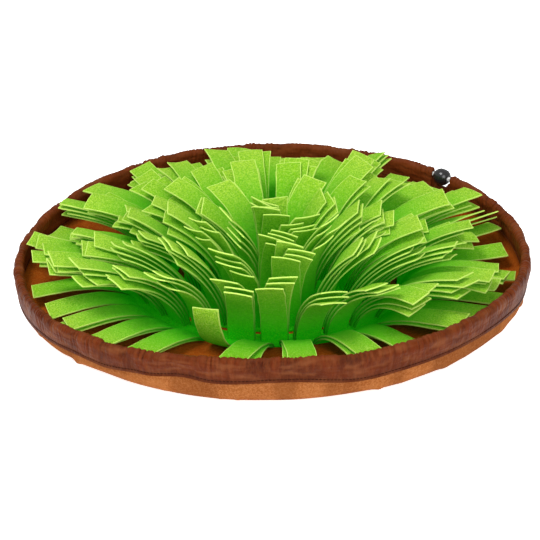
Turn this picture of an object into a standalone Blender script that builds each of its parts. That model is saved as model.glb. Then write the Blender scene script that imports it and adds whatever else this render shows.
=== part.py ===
"""Snuffle mat: a round suede-cloth dish, a gathered casing round its edge with a drawcord and a cord lock,
and felt fringe sewn on in a middle disc and four rings, whose strips open outwards like a flower.

Metres, +Z up. The origin is the middle of the underside, on the floor. Azimuth 0 is +X and 90 is +Y.
"""

import math
import random

import bmesh
import bpy
from mathutils import Matrix, Vector
from mathutils.bvhtree import BVHTree

MM = 0.001

# Driving sizes.
MAT_RADIUS = 0.250
BASE_THICK = 0.0025
FELT_THICK = 0.0015
STRIP_WIDTH = 0.0262
SEWING_GAP = 0.0003  # between pieces that are sewn or laid together

# Casing: a folded band that straddles the edge of the base, with the cord's round channel at its top.
BAND_HEIGHT = 25  # millimetres, in the section below
BAND_FOOT = 8  # the part of it above the seam that keeps its height where the band is narrower
CHANNEL_HALF = 0.0042  # half the thickness of the rolled top
CHANNEL_DROP = 0.0058  # from the crest down to the middle of the channel
TUCK = 0.006  # how far the base's edge stands up inside the band
WALL_RADIUS = MAT_RADIUS - CHANNEL_HALF
CASING_SECTION = (  # out from the wall line and up from the seam, in millimetres
    (2.9, 0.0), (3.3, 8.0), (4.2, 17.0), (3.6, 22.6), (1.6, 25.0), (-1.6, 25.0), (-3.7, 22.4),
    (-4.3, 17.0), (-3.2, 8.0), (-2.9, 0.0), (-1.55, 0.0), (-1.55, 6.3), (1.55, 6.3), (1.55, 0.0),
)  # fmt: skip
LOW_SECTION = (  # the same in the opening, where only the lower part of the band goes on
    (2.9, 0.0), (3.3, 6.5), (3.2, 8.0), (2.4, 8.8), (1.0, 9.2), (-1.0, 9.2), (-2.4, 8.8),
    (-3.2, 8.0), (-3.3, 6.5), (-2.9, 0.0), (-1.55, 0.0), (-1.55, 6.3), (1.55, 6.3), (1.55, 0.0),
)  # fmt: skip
LOW_FOOT = 6.5  # the part of that section that keeps its height
LOW_HEIGHT = 9.2
LOW_TOPS = (  # azimuth and top of the lower part above the seam, which dips under the lock
    (39.95, 16.0), (40.7, 16.0), (41.0, 13.6), (41.6, 10.7), (43.0, 9.2),
    (44.4, 10.7), (45.0, 13.6), (45.35, 16.0), (45.65, 16.0),
)  # fmt: skip
SEAM_POINTS = (0, 9, 10, 13)  # the points of the section that lie on the seam
SEAM_REACH = 0.0026  # the lowest that the seam waves below its own line
WALL_UPRIGHT = 0.0018  # how far the base's wall is upright under the seam's lowest
SEAM_WAVES = ((1.3, 7, 0.4), (0.8, 13, 2.1), (0.4, 19, 4.0))  # millimetres, waves round the mat, phase

# The rim as it lies: azimuth in degrees, height of the casing's crest, radius of the flat underside and
# height of the casing's band in millimetres.
RIM = (
    (0, 39, 236, 25), (20, 41, 236, 25), (45, 43, 236, 25), (70, 43, 235, 25), (95, 43, 235, 25),
    (115, 41, 236, 25), (135, 36, 238, 25), (155, 31, 240, 25), (175, 29, 240, 24), (200, 29, 240, 24),
    (215, 31, 238, 23.5), (232, 36.5, 237, 22.5), (243, 39.5, 237.6, 21.5), (252, 42.8, 237.8, 19.5),
    (258, 44.8, 237, 24.5), (270, 47.5, 235, 24.5), (290, 46, 230, 24.5), (320, 47, 228, 24.5),
    (340, 44, 231, 25), (360, 39, 236, 25),
)  # fmt: skip
RIM_STEPS = 64

# The opening in the casing, where the cord lock sits on the drawcord.
LOCK_AZIMUTH = 43.0
MOUTHS = (39.8, 45.8)  # azimuths where the channel ends
RIM_AZIMUTHS = sorted([360 * i / RIM_STEPS for i in range(RIM_STEPS)] + list(MOUTHS))
LOCK_RADIUS = 0.0092
LOCK_LONG = 0.0098  # half the lock's size along its bore
CORD_RADIUS = 0.0024
BORE_RADIUS = CORD_RADIUS + 0.0004
CORD_TUCK = 0.007  # how far the cord goes into each mouth of the casing
MOUTH_DEPTH = 0.008
CORD_POINTS = 15

# Rows of fringe from the middle outwards, the first two on one disc: radius of the row and length of its
# strips in millimetres, bundles in the row, azimuth of the first of them, strips in a bundle, and their
# leans from upright at the root, middle and tip in degrees, first for the mat's back, then for the rest.
RINGS = (
    (5, 84, 2, 270, 3, (2, 9, 20), (2, 9, 20)),
    (22, 88, 5, 270, 3, (8, 36, 62), (8, 32, 60)),
    (48, 92, 10, 251, 4, (12, 46, 74), (12, 44, 72)),
    (75, 96, 15, 268, 4, (14, 50, 78), (18, 56, 80)),
    (105, 98, 21, 261, 4, (22, 63, 88), (26, 66, 86)),
)  # fmt: skip
# The front half is combed backwards: so much of the root's, middle's and tip's lean is added towards +Y.
COMB = (1.0, 0.62, 0.36)
OUTER_RADIUS = 0.134
# Bundles of the outermost row, in the order in which they were laid: azimuth, how far the foot stands out
# from the row in millimetres, turn away from straight outwards, strips, their length in millimetres, leans
# at the root, middle and tip, and roll.
OUTER_BUNDLES = (
    (258, 0, 4, 3, 90, 4, 34, 60, 6), (271, 0, -6, 3, 88, 2, 32, 60, -4),
    (284, 0, 6, 3, 88, 6, 42, 68, 6), (254, 8, -10, 2, 76, 84, 30, -8, 0),
    (241, 9, -14, 2, 84, 60, 90, 91, 0), (229, 9, -10, 2, 88, 58, 90, 92, 0),
    (217, 8, -8, 2, 90, 56, 88, 92, 0), (205, 7, -6, 1, 96, 58, 88, 92, 8),
    (193, 7, -4, 1, 96, 60, 88, 90, 0), (266, 9, -14, 2, 78, 50, 86, 98, 0),
    (278, 9, -4, 2, 78, 46, 86, 106, 0), (290, 9, 6, 2, 84, 40, 84, 106, 0),
    (302, 8, 12, 2, 88, 50, 88, 94, 6), (314, 7, 14, 2, 92, 54, 88, 94, -8),
    (326, 7, 8, 1, 94, 56, 88, 90, 0), (338, 7, 8, 1, 98, 58, 88, 90, 0),
    (350, 7, 8, 1, 98, 58, 87, 90, 6), (2, 7, 10, 1, 98, 56, 87, 88, -6),
    (14, 7, 8, 1, 96, 54, 85, 86, 8), (166, 7, -6, 1, 96, 58, 87, 90, 0),
    (179, 7, -4, 2, 98, 58, 88, 90, 6),
    (241, -5, -12, 3, 92, 8, 40, 64, 0), (228, -5, -10, 4, 94, 14, 50, 72, 4),
    (215, -5, -6, 4, 96, 20, 60, 80, 0), (202, -5, -3, 4, 100, 26, 68, 82, 8),
    (297, -5, 10, 3, 92, 10, 46, 70, 0), (310, -5, 6, 4, 94, 16, 56, 80, -6),
    (323, -5, 2, 4, 98, 24, 66, 84, 4), (336, -5, 0, 4, 100, 30, 76, 88, 0),
    (349, -4, -3, 3, 102, 34, 84, 88, 8), (189, -4, -3, 3, 104, 32, 78, 84, 0),
    (0, 0, -4, 3, 104, 34, 80, 84, -20), (13, 0, 8, 3, 102, 30, 78, 82, 30),
    (26, 0, 6, 4, 98, 28, 78, 82, 0), (39, 0, 8, 3, 92, 30, 80, 84, 0),
    (51, 0, -4, 3, 92, 30, 82, 88, 5), (64, 0, -12, 3, 102, 26, 72, 80, 25),
    (77, 0, 4, 3, 94, 28, 80, 86, 0), (90, 0, 0, 3, 92, 28, 80, 88, 0),
    (103, 0, -5, 3, 102, 26, 72, 80, -8), (116, 0, -8, 3, 92, 28, 80, 88, 0),
    (129, 0, 4, 4, 94, 28, 80, 86, 10), (141, 0, 8, 4, 96, 28, 80, 86, 0),
    (154, 0, 8, 4, 98, 30, 80, 88, -12), (167, 0, 0, 4, 98, 32, 82, 90, 0),
    (180, 0, -3, 3, 104, 34, 84, 88, 8),
)  # fmt: skip
LAYER_GAP = 0.0023  # from the middle of one strip of a bundle to the next
LAYER_OPENING = 1.0  # share by which that distance grows towards the tips
LAYER_DRIFT = 0.012  # most that a strip's tip moves sideways in its bundle
BACKING_HALF = 0.0112
BACKING_THICK = 0.0020
ROOT_DEPTH = 0.0012  # of a strip's foot inside its backing
SPLITS = (0.0, 0.18, 0.52, 1.0)  # shares of a strip's length where its solid bends
FRONT_SPLITS = (0.0, 0.14, 0.36, 0.66, 1.0)  # the same in the front half of the outermost ring
STRIP_CLEARANCE = 0.0005
BUNDLE_YAW = 11
LEAN_SPREAD = 8
LENGTH_SPREAD = 0.007
ROLL_SPREAD = 17
LIFT_STEP = 1.5
LIFT_MOST = 24
BACK_Y = 0.150  # beyond this Y the strips stay under this top, which falls off so steeply
BACK_TOP = 0.086
BACK_FALL = 0.5
SEED = 68


def smooth(t):
    return t * t * (3 - 2 * t)


def rim_at(azimuth):
    """Crest height, floor radius and band height at an azimuth, eased from one row of RIM to the next."""
    azimuth %= 360
    for before, after in zip(RIM, RIM[1:]):
        if azimuth <= after[0]:
            t = smooth((azimuth - before[0]) / (after[0] - before[0]))
            return tuple((a + (b - a) * t) * MM for a, b in zip(before[1:], after[1:]))


def seam_height(azimuth):
    crest, _, band = rim_at(azimuth)
    return crest - band


def seam_slack(azimuth):
    """From 1 where the band's seam is free to wave up and down, to 0 where it lies close to the floor."""
    return min(max((seam_height(azimuth) - 0.004) / 0.008, 0), 1)


def seam_wave(azimuth):
    wave = sum(size * math.sin(waves * math.radians(azimuth) + phase) for size, waves, phase in SEAM_WAVES)
    return wave * MM * seam_slack(azimuth)


def around(radius, azimuth, height):
    angle = math.radians(azimuth)
    return Vector((radius * math.cos(angle), radius * math.sin(angle), height))


def material(name, color, roughness):
    made = bpy.data.materials.new(name)
    made.use_nodes = True
    shader = made.node_tree.nodes["Principled BSDF"]
    shader.inputs["Base Color"].default_value = (*color, 1)
    shader.inputs["Roughness"].default_value = roughness
    shader.inputs["Metallic"].default_value = 0
    made.diffuse_color = (*color, 1)
    return made


def add_object(name, mesh, finish=None):
    made = bpy.data.objects.new(name, mesh)
    bpy.context.scene.collection.objects.link(made)
    if finish:
        made.data.materials.append(finish)
    return made


def mesh_of(name, points, faces):
    """A mesh of these faces, turned to point outwards."""
    mesh = bpy.data.meshes.new(name)
    mesh.from_pydata(points, [], faces)
    work = bmesh.new()
    work.from_mesh(mesh)
    bmesh.ops.recalc_face_normals(work, faces=work.faces)
    work.to_mesh(mesh)
    work.free()
    return mesh


def shade_round(obj, sharp_degrees=40):
    obj.data.shade_smooth()
    obj.data.set_sharp_from_angle(angle=math.radians(sharp_degrees))


def use_boolean(obj, other, operation):
    modifier = obj.modifiers.new(operation.title(), "BOOLEAN")
    modifier.operation = operation
    modifier.solver = "EXACT"
    modifier.object = other
    other.hide_render = True
    other.display_type = "WIRE"


def lofted(sections, closed):
    """Points and faces that join equal sections one after another, capped at both ends unless closed."""
    size = len(sections[0])
    points = [point for section in sections for point in section]
    rounds = len(sections) if closed else len(sections) - 1
    faces = []
    for i in range(rounds):
        here, there = i * size, (i + 1) % len(sections) * size
        faces += [
            (here + k, here + (k + 1) % size, there + (k + 1) % size, there + k) for k in range(size)
        ]
    if not closed:
        faces += [tuple(range(size)), tuple(range(len(points) - size, len(points)))]
    return points, faces


# The base.


def base_line(azimuth):
    """(radius, height) along the middle of the base's cloth, from the edge of its flat underside upwards."""
    floor_radius = rim_at(azimuth)[1]
    seam = seam_height(azimuth)
    low, top = BASE_THICK / 2, seam - WALL_UPRIGHT - SEAM_REACH * seam_slack(azimuth)
    start, bend, end = (floor_radius, low), (WALL_RADIUS, low + 0.2 * (top - low)), (WALL_RADIUS, top)
    line = []
    for t in (0.0, 0.35, 0.7, 1.0):
        a, b, c = (1 - t) ** 2, 2 * t * (1 - t), t * t
        line.append(tuple(a * p + b * q + c * r for p, q, r in zip(start, bend, end)))
    return line + [(WALL_RADIUS, seam + TUCK)]


def base_section(azimuth):
    """The base's outer face upwards and its inner face downwards, each half the cloth off its middle."""
    line = base_line(azimuth)
    outer, inner = [], []
    for i, (radius, height) in enumerate(line):
        before, after = line[max(i - 1, 0)], line[min(i + 1, len(line) - 1)]
        along = Vector((after[0] - before[0], after[1] - before[1])).normalized()
        if i == 0:
            along = Vector((1, 0))
        off = Vector((along.y, -along.x)) * BASE_THICK / 2
        outer.append(around(radius + off.x, azimuth, height + off.y))
        inner.append(around(radius - off.x, azimuth, height - off.y))
    return outer + inner[::-1]


def build_base(finish):
    sections = [base_section(azimuth) for azimuth in RIM_AZIMUTHS]
    size = len(sections[0])
    points, faces = lofted(sections, closed=True)
    # The flat middle closes each face, where the loft would otherwise join the two faces round the hole.
    faces = [face for face in faces if {p % size for p in face} != {0, size - 1}]
    faces.append(tuple(range(0, len(points), size)))
    faces.append(tuple(range(size - 1, len(points), size)))
    base = add_object("base", mesh_of("base", points, faces), finish)
    shade_round(base)


# The casing, its drawcord and the cord lock.


def low_top(azimuth):
    """How far the band's lower part in the opening reaches above the seam, in millimetres."""
    for before, after in zip(LOW_TOPS, LOW_TOPS[1:]):
        if azimuth <= after[0]:
            return before[1] + (after[1] - before[1]) * (azimuth - before[0]) / (after[0] - before[0])


def casing_section(azimuth):
    seam, band = seam_height(azimuth), rim_at(azimuth)[2]
    if MOUTHS[0] < azimuth < MOUTHS[1]:
        table, foot, stretch = LOW_SECTION, LOW_FOOT, (low_top(azimuth) - LOW_FOOT) / (LOW_HEIGHT - LOW_FOOT)
    else:
        table, foot, stretch = CASING_SECTION, BAND_FOOT, (band / MM - BAND_FOOT) / (BAND_HEIGHT - BAND_FOOT)
    section = []
    for i, (out, up) in enumerate(table):
        dip = seam_wave(azimuth) if i in SEAM_POINTS else 0.0
        rise = min(up, foot) + max(up - foot, 0) * stretch
        section.append(around(WALL_RADIUS + out * MM, azimuth, seam + rise * MM + dip))
    return section


def channel_point(azimuth):
    return around(WALL_RADIUS, azimuth, rim_at(azimuth)[0] - CHANNEL_DROP)


def cord_line():
    """The drawcord, from inside one mouth of the casing, straight through the lock, to inside the other."""
    tuck = math.degrees(CORD_TUCK / WALL_RADIUS)
    first, last = MOUTHS[0] - tuck, MOUTHS[1] + tuck
    middle, along = channel_point(LOCK_AZIMUTH), tangent(LOCK_AZIMUTH)
    line = []
    for i in range(CORD_POINTS):
        azimuth = first + (last - first) * i / (CORD_POINTS - 1)
        walked = math.radians(azimuth - LOCK_AZIMUTH) * WALL_RADIUS
        in_lock = abs(walked) < LOCK_LONG + 0.001
        line.append(middle + along * walked if in_lock else channel_point(azimuth))
    return line


def cylinder(name, middle, along, radius, length, sides):
    mesh = bpy.data.meshes.new(name)
    work = bmesh.new()
    bmesh.ops.create_cone(
        work, cap_ends=True, segments=sides, radius1=radius, radius2=radius, depth=length
    )
    turn = Vector((0, 0, 1)).rotation_difference(along.normalized()).to_matrix().to_4x4()
    bmesh.ops.transform(work, matrix=Matrix.Translation(middle) @ turn, verts=work.verts)
    work.to_mesh(mesh)
    work.free()
    return add_object(name, mesh)


def tangent(azimuth):
    angle = math.radians(azimuth)
    return Vector((-math.sin(angle), math.cos(angle), 0))


def build_casing(finish):
    azimuths = sorted({*RIM_AZIMUTHS, *(row[0] for row in LOW_TOPS)})
    sections = [casing_section(azimuth) for azimuth in azimuths]
    casing = add_object("casing", mesh_of("casing", *lofted(sections, closed=True)), finish)
    for azimuth, inwards in zip(MOUTHS, (-1, 1)):
        name = f"mouth_cutter_{azimuth:.0f}"
        cutter = cylinder(
            name, channel_point(azimuth), tangent(azimuth) * inwards, BORE_RADIUS, 2 * MOUTH_DEPTH, 12
        )
        use_boolean(casing, cutter, "DIFFERENCE")
    shade_round(casing)


def build_cord(finish):
    curve = bpy.data.curves.new("drawcord", "CURVE")
    curve.dimensions = "3D"
    curve.bevel_depth = CORD_RADIUS
    curve.bevel_resolution = 2
    curve.use_fill_caps = True
    spline = curve.splines.new("POLY")
    spline.points.add(CORD_POINTS - 1)
    for point, place in zip(spline.points, cord_line()):
        point.co = (*place, 1)
    add_object("drawcord", curve, finish)


def build_lock(finish):
    """A round toggle with the drawcord through its bore."""
    middle = channel_point(LOCK_AZIMUTH)
    along = tangent(LOCK_AZIMUTH)
    mesh = bpy.data.meshes.new("cord_lock")
    work = bmesh.new()
    bmesh.ops.create_uvsphere(work, u_segments=18, v_segments=10, radius=LOCK_RADIUS)
    turn = Vector((1, 0, 0)).rotation_difference(along).to_matrix().to_4x4()
    stretch = Matrix.Scale(LOCK_LONG / LOCK_RADIUS, 4, Vector((1, 0, 0)))
    bmesh.ops.transform(work, matrix=Matrix.Translation(middle) @ turn @ stretch, verts=work.verts)
    work.to_mesh(mesh)
    work.free()
    lock = add_object("cord_lock", mesh, finish)
    bore = cylinder("bore_cutter", middle, along, BORE_RADIUS, 3 * LOCK_LONG, 14)
    use_boolean(lock, bore, "DIFFERENCE")
    shade_round(lock)


# The fringe.


def felt_bar(sections):
    """A bent bar through four-sided sections, with both broad faces split alike to keep its thickness."""
    points = [point for section in sections for point in section]
    faces = [(0, 1, 2, 3), tuple(range(len(points) - 4, len(points)))]
    for here in range(0, len(points) - 4, 4):
        there = here + 4
        faces += [
            (here, here + 1, there + 1),
            (here, there + 1, there),
            (here + 1, here + 2, there + 2, there + 1),
            (here + 2, here + 3, there + 2),
            (here + 3, there + 3, there + 2),
            (here + 3, here, there, there + 3),
        ]
    return points, faces


class Bundle:
    """Felt strips that leave the backing together and stay one on another as they bend over."""

    def __init__(self, foot, heading, leans, roll, length, layers, splits):
        self.foot = foot
        self.heading = heading
        self.leans = leans
        self.roll = roll
        self.length = length
        self.splits = splits
        self.layers = layers  # of each strip: distance off the lowest one, sideways drift, length

    def lean_at(self, share):
        root, middle, tip = self.leans
        rest = 1 - share
        return root * rest * (rest - share) + 4 * middle * share * rest + tip * share * (share - rest)

    def guide(self, distances, stride=0.004):
        """(middle, across, off the face) of the bundle at each of these distances from its foot."""
        outwards, side = around(1, self.heading, 0), tangent(self.heading)
        place, walked, found = self.foot.copy(), 0.0, []
        for distance in distances:
            while walked < distance - 1e-9:
                step = min(stride, distance - walked)
                lean = math.radians(self.lean_at((walked + step / 2) / self.length))
                place = place + (outwards * math.sin(lean) + Vector((0, 0, math.cos(lean)))) * step
                walked += step
            lean = math.radians(self.lean_at(distance / self.length))
            face = outwards * math.cos(lean) - Vector((0, 0, math.sin(lean)))
            roll = math.radians(self.roll * smooth(min(distance / self.length, 1)))
            across = side * math.cos(roll) + face * math.sin(roll)
            found.append((place.copy(), across, face * math.cos(roll) - side * math.sin(roll)))
        return found

    def strip(self, layer, splits):
        """(middle, across, off the face) of one strip at these shares of its length."""
        off_middle, drift, length = self.layers[layer]
        found = []
        places = self.guide([share * length for share in splits])
        for share, (middle, across, off) in zip(splits, places):
            if share == 0:
                off = around(1, self.heading, 0)
            sideways = across * drift * share * share
            middle = middle - off * off_middle * (1 + LAYER_OPENING * share) + sideways
            found.append((middle, across, off))
        return found

    def solid(self, spare=0.0):
        """Points and faces of the strips as bent bars of four sides, this much thicker than the felt."""
        half, thick = STRIP_WIDTH / 2 + spare, FELT_THICK / 2 + spare
        points, faces = [], []
        for layer in range(len(self.layers)):
            sections = []
            for middle, across, off in self.strip(layer, self.splits):
                a, b = across * half, off * thick
                sections.append([middle - a - b, middle + a - b, middle + a + b, middle - a + b])
            new_points, new_faces = felt_bar(sections)
            faces += [tuple(len(points) + p for p in face) for face in new_faces]
            points += new_points
        return points, faces

    def clear_of_dish(self):
        """True if the strips stay off the base, inside the casing or over its crest, and low at the back."""
        floor = BASE_THICK + 2 * SEWING_GAP + FELT_THICK
        for layer in range(len(self.layers)):
            for middle, across, _ in self.strip(layer, self.splits)[2:]:
                for share in (-0.5, 0, 0.5):
                    point = middle + across * STRIP_WIDTH * share
                    radius = math.hypot(point.x, point.y)
                    crest, floor_radius, _ = rim_at(math.degrees(math.atan2(point.y, point.x)))
                    if point.z < floor + max(0.0, radius - floor_radius + 0.006) * 1.2:
                        return False
                    if radius > WALL_RADIUS - CHANNEL_HALF - 0.003 and point.z < crest + 0.004:
                        return False
                    if point.y > BACK_Y and point.z > BACK_TOP - (point.y - BACK_Y) * BACK_FALL:
                        return False
        return True


def settle(bundle, trees):
    """Leans the bundle as near to its own lean as clears the dish and the bundles already laid."""
    root, middle, tip = bundle.leans
    tries = int(LIFT_MOST / LIFT_STEP)
    for lift in sorted((LIFT_STEP * i for i in range(-tries, tries + 1)), key=abs):
        bundle.leans = (root - 0.5 * lift, middle - lift, tip - lift)
        if bundle.clear_of_dish():
            tree = BVHTree.FromPolygons(*bundle.solid(STRIP_CLEARANCE))
            if not any(tree.overlap(other) for other in trees):
                trees.append(tree)
                return True
    return False


def combed(azimuth, leans):
    """Heading and leans of a bundle at an azimuth, once the front half is combed backwards."""
    comb = math.sqrt(max(-math.sin(math.radians(azimuth)), 0))
    outwards, backwards = around(1, azimuth, 0), Vector((0, 1, 0))
    root, middle, tip = (outwards + backwards * comb * share for share in COMB)
    heading = math.degrees(math.atan2(middle.y, middle.x))
    ahead = middle.normalized()
    return heading, tuple(lean * part.dot(ahead) for lean, part in zip(leans, (root, middle, tip)))


def inner_rows(ring, chance):
    """(azimuth, radius, heading, strips, length, leans, roll) of each bundle of an inner ring."""
    radius, length, bundles, first, count, at_back, elsewhere = RINGS[ring]
    rows = []
    for i in range(bundles):
        azimuth = first + 360 * (i + chance.uniform(-0.1, 0.1)) / bundles
        to_back = max(math.sin(math.radians(azimuth)), 0)
        leans = [a + (b - a) * to_back for a, b in zip(elsewhere, at_back)]
        heading, leans = combed(azimuth, leans)
        more = chance.uniform(-LEAN_SPREAD, LEAN_SPREAD)
        leans = (leans[0] + more / 2, leans[1] + more, leans[2] + more)
        yaw = chance.uniform(-BUNDLE_YAW, BUNDLE_YAW)
        roll = chance.uniform(-ROLL_SPREAD, ROLL_SPREAD)
        rows.append((azimuth, radius * MM, heading + yaw, count, length, leans, roll))
    return rows


def outer_rows():
    """The same for the outermost ring."""
    return [
        (azimuth, OUTER_RADIUS + out * MM, azimuth + turn, count, length, (root, middle, tip), roll)
        for azimuth, out, turn, count, length, root, middle, tip, roll in OUTER_BUNDLES
    ]


def lay_bundles():
    """The bundles of each ring, laid one on another from the outermost ring inwards."""
    chance = random.Random(SEED)
    rings, trees = [], []
    for ring in reversed(range(len(RINGS) + 1)):
        rings.insert(0, [])
        rows = outer_rows() if ring == len(RINGS) else inner_rows(ring, chance)
        for azimuth, radius, heading, count, length, leans, roll in rows:
            layers = [
                (
                    LAYER_GAP * layer,
                    chance.uniform(-LAYER_DRIFT, LAYER_DRIFT),
                    length * MM + chance.uniform(-LENGTH_SPREAD, LENGTH_SPREAD),
                )
                for layer in range(count)
            ]
            foot = around(radius, azimuth, BASE_THICK + SEWING_GAP + BACKING_THICK - ROOT_DEPTH)
            foot += around(LAYER_GAP * (count - 1) / 2, heading, 0)
            in_front = ring == len(RINGS) and azimuth > 160
            splits = FRONT_SPLITS if in_front else SPLITS
            bundle = Bundle(foot, heading, leans, roll, length * MM, layers, splits)
            while bundle.layers and not settle(bundle, trees):
                bundle.leans = leans
                bundle.layers.pop()
            if bundle.layers:
                rings[0].append(bundle)
    return rings


def build_fringe(name, radius, is_disc, bundles, finish):
    """A felt backing, a disc or a narrow ring about this radius, with its strips standing on it."""
    inner, outer = radius - BACKING_HALF, radius + BACKING_HALF
    low = BASE_THICK + SEWING_GAP
    high = low + BACKING_THICK
    steps = round(18 + radius / 0.005)
    angles = [360 * i / steps for i in range(steps)]
    if is_disc:
        points, faces = lofted([[around(outer, a, z) for a in angles] for z in (low, high)], closed=False)
    else:
        corners = ((inner, low), (outer, low), (outer, high), (inner, high))
        points, faces = lofted([[around(r, a, z) for r, z in corners] for a in angles], closed=True)
    backing = add_object(name, mesh_of(name, points, faces), finish)
    points, faces = [], []
    for bundle in bundles:
        solid_points, solid_faces = bundle.solid()
        faces += [tuple(len(points) + p for p in face) for face in solid_faces]
        points += solid_points
    bars = add_object(f"{name}_strips", mesh_of(f"{name}_strips", points, faces))
    use_boolean(backing, bars, "UNION")


def main():
    for old in list(bpy.data.objects):
        bpy.data.objects.remove(old)
    suede = material("suede_cloth", (0.50, 0.19, 0.075), 0.85)
    satin = material("casing_cloth", (0.17, 0.045, 0.022), 0.5)
    felt = material("felt", (0.27, 0.60, 0.03), 0.95)
    braid = material("cord_braid", (0.75, 0.74, 0.72), 0.7)
    plastic = material("lock_plastic", (0.012, 0.012, 0.012), 0.25)
    build_base(suede)
    build_casing(satin)
    build_cord(braid)
    build_lock(plastic)
    tuft, around_tuft, *rings = lay_bundles()
    build_fringe("fringe_centre", RINGS[1][0] * MM, True, tuft + around_tuft, felt)
    radii = [row[0] * MM for row in RINGS[2:]] + [OUTER_RADIUS]
    for i, (radius, bundles) in enumerate(zip(radii, rings)):
        build_fringe(f"fringe_ring_{i + 1}", radius, False, bundles, felt)


main()
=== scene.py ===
"""Snuffle mat, dressed: felt fringe strip by strip, suede dish, gathered casing with its seam, braided
drawcord and cord lock. Metres, +Z up, origin in the middle of the underside; azimuth 0 is +X, 90 is +Y."""

import math
import random

import bpy
import numpy as np
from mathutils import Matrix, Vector
from mathutils.bvhtree import BVHTree


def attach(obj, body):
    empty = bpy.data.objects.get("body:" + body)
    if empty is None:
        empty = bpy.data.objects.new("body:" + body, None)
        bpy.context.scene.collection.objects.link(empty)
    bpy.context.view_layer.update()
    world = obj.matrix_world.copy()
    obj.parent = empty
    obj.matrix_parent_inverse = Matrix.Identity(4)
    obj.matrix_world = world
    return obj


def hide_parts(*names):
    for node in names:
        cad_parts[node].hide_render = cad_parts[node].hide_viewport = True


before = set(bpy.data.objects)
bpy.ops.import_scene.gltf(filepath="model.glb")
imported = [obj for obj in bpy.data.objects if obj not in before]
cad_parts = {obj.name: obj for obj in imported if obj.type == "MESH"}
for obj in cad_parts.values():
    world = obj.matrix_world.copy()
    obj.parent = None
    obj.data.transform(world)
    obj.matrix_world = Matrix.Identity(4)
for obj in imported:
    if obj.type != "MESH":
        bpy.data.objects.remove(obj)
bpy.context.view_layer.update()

MM = 0.001

# ---- The part's own sizes, as in its source. ----

MAT_RADIUS = 0.250
BASE_THICK = 0.0025
STRIP_WIDTH = 0.0262
SEWING_GAP = 0.0003
BAND_HEIGHT = 25  # millimetres
BAND_FOOT = 8  # what keeps its height where the band is narrower
CHANNEL_HALF = 0.0042
CHANNEL_DROP = 0.0058  # of its middle, from the crest
TUCK = 0.006  # of the base's edge inside the band
WALL_RADIUS = MAT_RADIUS - CHANNEL_HALF
SEAM_REACH = 0.0026
WALL_UPRIGHT = 0.0018
WALL_BEND = 0.2
SEAM_WAVES = ((1.3, 7, 0.4), (0.8, 13, 2.1), (0.4, 19, 4.0))  # millimetres, waves round the mat, phase
SLACK_FROM, SLACK_OVER = 0.004, 0.008  # height, for the seam to wave
RIM = (  # azimuth; crest height, radius of the flat underside and band height in millimetres
    (0, 39, 236, 25), (20, 41, 236, 25), (45, 43, 236, 25), (70, 43, 235, 25), (95, 43, 235, 25),
    (115, 41, 236, 25), (135, 36, 238, 25), (155, 31, 240, 25), (175, 29, 240, 24), (200, 29, 240, 24),
    (215, 31, 238, 23.5), (232, 36.5, 237, 22.5), (243, 39.5, 237.6, 21.5), (252, 42.8, 237.8, 19.5),
    (258, 44.8, 237, 24.5), (270, 47.5, 235, 24.5), (290, 46, 230, 24.5), (320, 47, 228, 24.5),
    (340, 44, 231, 25), (360, 39, 236, 25),
)
LOCK_AZIMUTH = 43.0
MOUTHS = (39.8, 45.8)
LOW_TOPS = (  # azimuth and height of the band's lower part, which dips under the lock
    (39.95, 16.0), (40.7, 16.0), (41.0, 13.6), (41.6, 10.7), (43.0, 9.2),
    (44.4, 10.7), (45.0, 13.6), (45.35, 16.0), (45.65, 16.0),
)
LOCK_RADIUS = 0.0092
LOCK_LONG = 0.0098  # half its size along its bore
CORD_RADIUS = 0.0024
CORD_TUCK = 0.007  # into each mouth of the casing
RINGS = (  # radius, strip length, bundles, first azimuth, strips in each, leans at the back and elsewhere
    (5, 84, 2, 270, 3, (2, 9, 20), (2, 9, 20)),
    (22, 88, 5, 270, 3, (8, 36, 62), (8, 32, 60)),
    (48, 92, 10, 251, 4, (12, 46, 74), (12, 44, 72)),
    (75, 96, 15, 268, 4, (14, 50, 78), (18, 56, 80)),
    (105, 98, 21, 261, 4, (22, 63, 88), (26, 66, 86)),
)
COMB = (1.0, 0.62, 0.36)  # how far the front half is combed backwards, as a share of the leans
OUTER_RADIUS = 0.134
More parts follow.
